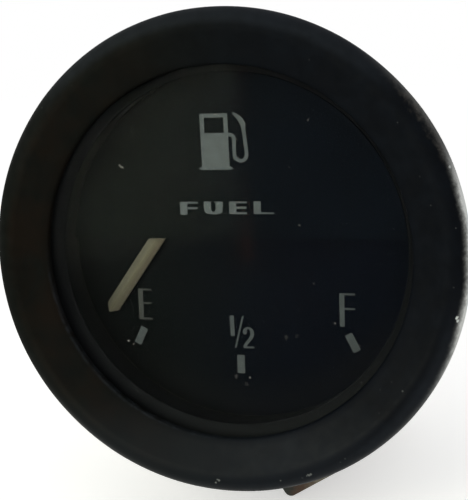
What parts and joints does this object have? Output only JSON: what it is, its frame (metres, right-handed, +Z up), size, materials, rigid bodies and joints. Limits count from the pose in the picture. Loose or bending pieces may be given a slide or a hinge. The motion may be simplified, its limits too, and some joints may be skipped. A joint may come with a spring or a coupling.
{
  "type": "fuel gauge",
  "caption": "Round panel-mounted fuel gauge with a black bezel, flat glass, masked dial and pointer, a thermal movement in a can, a lamp holder and a rear U clamp.",
  "frame": {"origin": "gauge's axis on the front plane of the panel, where the bezel's rear edge seats", "axes": "+Y backwards through the panel along the gauge axis, so the dial faces -Y; +Z up to 12 o'clock; +X to the right of someone reading the dial"},
  "size_m": [0.06, 0.0565, 0.0634],
  "materials": {
    "bezel_black": "satin black stoving paint over steel, worn at the rim",
    "front_glass": "clear flat glass",
    "rubber": "black rubber",
    "trim_black": "matt black paint",
    "case_zinc": "dull zinc plate with a yellowish passivation",
    "dial_black": "matt black with pale marks",
    "mask_black": "matt black with pale marks",
    "pointer_paint": "matt cream-grey paint",
    "steel": "plain steel",
    "plated_steel": "zinc plated steel",
    "brass": "dull brass",
    "bimetal": "bare bimetal strip",
    "heater_cloth": "woven glass sleeve",
    "heater_wire": "cotton-covered resistance wire",
    "insulator_brown": "brown bonded-paper insulator",
    "clamp_steel": "tan-brown passivated steel with light rust",
    "holder_plastic": "off-white moulded plastic",
    "bulb_glass": "clear bulb glass"
  },
  "bodies": {
    "case": {"glass": "front_glass", "glass_gasket": "rubber", "trim_ring": "trim_black", "case_can": "case_zinc", "dial_plate": "dial_black", "dial_mask": "mask_black", "mask_spacers": "plated_steel", "dial_screws": "plated_steel", "dial_pillars": "plated_steel", "arbor_bridge": "plated_steel", "bridge_rivets": "brass", "rear_bush": "brass", "movement_frame": "plated_steel", "frame_spacers": "brass", "movement_screws": "plated_steel", "quadrant_clip": "steel", "outer_insulator": "insulator_brown", "inner_insulator": "insulator_brown", "supply_terminal": "brass", "sender_terminal": "brass", "terminal_rivets": "brass", "earth_tab": "brass", "earth_rivet": "brass", "adjuster_plugs": "rubber", "mounting_studs": "plated_steel"},
    "bezel_body": {"bezel": "bezel_black"},
    "pointer_body": {"pointer": "pointer_paint", "pointer_arbor": "steel"},
    "zero_lever": {"zero_quadrant": "brass", "span_pivot_rivet": "steel"},
    "span_lever": {"span_quadrant": "brass", "bimetal_anchor_leg": "bimetal", "anchor_rivet": "steel"},
    "active_leg": {"bimetal_active_leg": "bimetal", "heater_sleeve": "heater_cloth", "heater_winding": "heater_wire"},
    "clamp": {"clamp_bracket": "clamp_steel", "spring_washers": "steel"},
    "lower_nut_body": {"lower_nut": "brass"},
    "upper_nut_body": {"upper_nut": "brass"},
    "lamp_holder": {"bulb_holder": "holder_plastic", "lamp_contacts": "brass", "lamp_terminal": "brass"},
    "bulb_body": {"bulb": "bulb_glass"}
  },
  "joints": [
    {"name": "bezel_turn", "type": "hinge", "parent": "case", "child": "bezel_body", "pos_m": [0, 0, 0], "axis": [0, -1, 0], "range_deg": [0, 30]},
    {"name": "pointer_swing", "type": "hinge", "parent": "case", "child": "pointer_body", "pos_m": [0, 0, 0.0165], "axis": [0, -1, 0], "range_deg": [0, 64], "stiffness_Nm_per_rad": 0.001},
    {"name": "zero_adjust", "type": "hinge", "parent": "case", "child": "zero_lever", "pos_m": [0, 0, 0.0165], "axis": [0, -1, 0], "range_deg": [-2.5, 2.5]},
    {"name": "span_adjust", "type": "hinge", "parent": "zero_lever", "child": "span_lever", "pos_m": [-0.009, 0, 0.014], "axis": [0, -1, 0], "range_deg": [-1.5, 1.5]},
    {"name": "bimetal_flex", "type": "hinge", "parent": "span_lever", "child": "active_leg", "pos_m": [0, 0, -0.01075], "axis": [0, 1, 0], "range_deg": [0, 6.15]},
    {"name": "clamp_slide", "type": "slide", "parent": "case", "child": "clamp", "axis": [0, 1, 0], "range_m": [0, 0.004]},
    {"name": "upper_nut_spin", "type": "hinge", "parent": "clamp", "child": "upper_nut_body", "pos_m": [-0.01346, 0, 0.00928], "axis": [0, 1, 0], "range_deg": [0, 2057.14]},
    {"name": "lower_nut_spin", "type": "hinge", "parent": "clamp", "child": "lower_nut_body", "pos_m": [0.00244, 0, -0.01617], "axis": [0, 1, 0], "range_deg": [0, 2057.14]},
    {"name": "bulb_holder_pull", "type": "slide", "parent": "case", "child": "lamp_holder", "axis": [0, 1, 0], "range_m": [0, 0.02]},
    {"name": "bulb_pull", "type": "slide", "parent": "lamp_holder", "child": "bulb_body", "axis": [0, -1, 0], "range_m": [0, 0.005]}
  ],
  "couplings": [
    {"joint": "bimetal_flex", "follows": "pointer_swing", "ratio": 0.0943},
    {"joint": "upper_nut_spin", "follows": "clamp_slide", "rad_per_m": 8975.9},
    {"joint": "lower_nut_spin", "follows": "clamp_slide", "rad_per_m": 8975.9}
  ]
}
